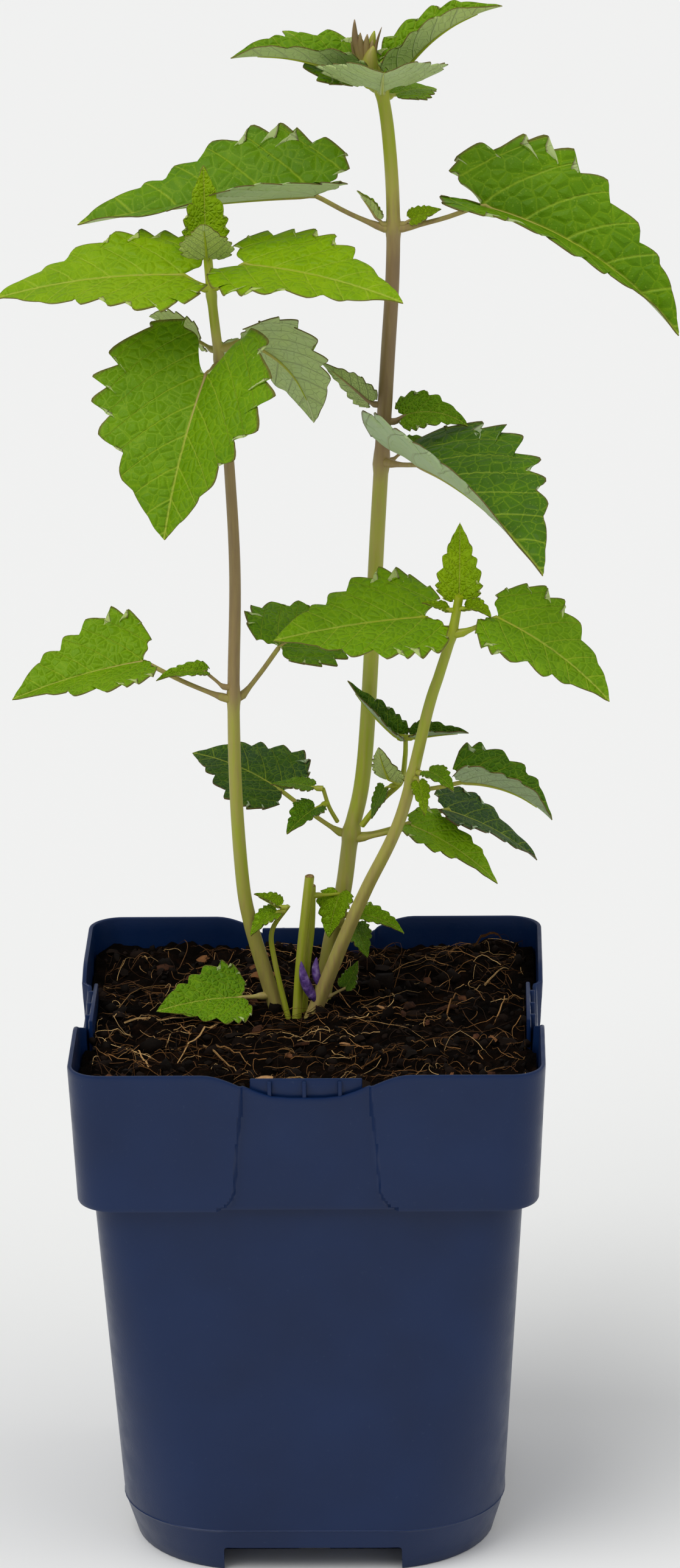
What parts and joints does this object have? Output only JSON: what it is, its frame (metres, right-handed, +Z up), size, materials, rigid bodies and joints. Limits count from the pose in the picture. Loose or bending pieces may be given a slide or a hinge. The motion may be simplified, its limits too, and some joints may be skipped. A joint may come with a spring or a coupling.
{
  "type": "potted anise hyssop",
  "caption": "Young anise hyssop with toothed heart-shaped leaves on square upright stems, growing in peaty mix in a square blue nursery pot.",
  "frame": {"origin": "middle of the pot's underside, on the surface it stands on", "axes": "+Z up along the pot and the stems, +X to the right and +Y to the back as the pot faces the viewer"},
  "size_m": [0.1605, 0.11, 0.3623],
  "materials": {
    "pot_plastic": "satin navy blue moulded polypropylene",
    "potting_mix": "rough dark peat with pale fibres",
    "stem": "softly hairy, green with a purple brown blush",
    "leaf": "matte green, quilted by its veins",
    "young_leaf": "matte yellow green, quilted by its veins",
    "flower_bud": "matte green and purple brown bracts",
    "petal": "matte purple"
  },
  "bodies": {
    "root": {"pot": "pot_plastic", "potting_mix": "potting_mix", "tall_stem": "stem", "left_stem": "stem", "right_stem": "stem", "cut_stub_front": "stem", "cut_stub_back": "stem", "side_shoot": "stem", "low_left_shoot": "stem", "basal_shoot": "stem", "rosette_left": "leaf", "rosette_right": "leaf", "rosette_front": "leaf", "rosette_back": "leaf", "rosette_side": "leaf", "tall_left_leaf": "leaf", "tall_right_leaf": "leaf", "tall_left_bud_leaf": "leaf", "tall_right_bud_leaf": "leaf", "left_tip_leaf": "young_leaf", "left_tip_front_leaf": "young_leaf", "left_upper_left_leaf": "young_leaf", "left_upper_right_leaf": "young_leaf", "left_front_leaf": "leaf", "left_back_left_leaf": "leaf", "left_back_right_leaf": "leaf", "tall_mid_left_leaf": "leaf", "tall_mid_right_leaf": "leaf", "tall_front_leaf": "leaf", "tall_small_leaf": "leaf", "left_low_left_leaf": "leaf", "left_low_right_leaf": "leaf", "left_low_bud_leaf": "leaf", "right_tip_leaf": "young_leaf", "right_tip_left_leaf": "young_leaf", "right_tip_right_leaf": "young_leaf", "right_upper_left_leaf": "young_leaf", "right_upper_right_leaf": "young_leaf", "right_low_right_leaf": "leaf", "right_low_small_leaf": "leaf", "right_low_pale_leaf": "leaf", "tall_low_left_leaf": "leaf", "tall_low_light_leaf": "leaf", "tall_low_right_leaf": "leaf", "low_left_shoot_back_leaf": "leaf", "low_left_shoot_front_leaf": "leaf", "side_shoot_left_leaf": "leaf", "side_shoot_right_leaf": "leaf", "side_shoot_low_left_leaf": "leaf", "side_shoot_low_right_leaf": "leaf", "basal_top_leaf": "leaf", "basal_left_leaf": "leaf", "centre_front_leaf": "leaf", "centre_right_leaf": "leaf", "centre_droop_leaf": "leaf", "round_foot_leaf": "leaf", "soil_leaf": "leaf", "petal_left": "petal", "petal_right": "petal", "flower_bud": "flower_bud"}
  },
  "joints": []
}
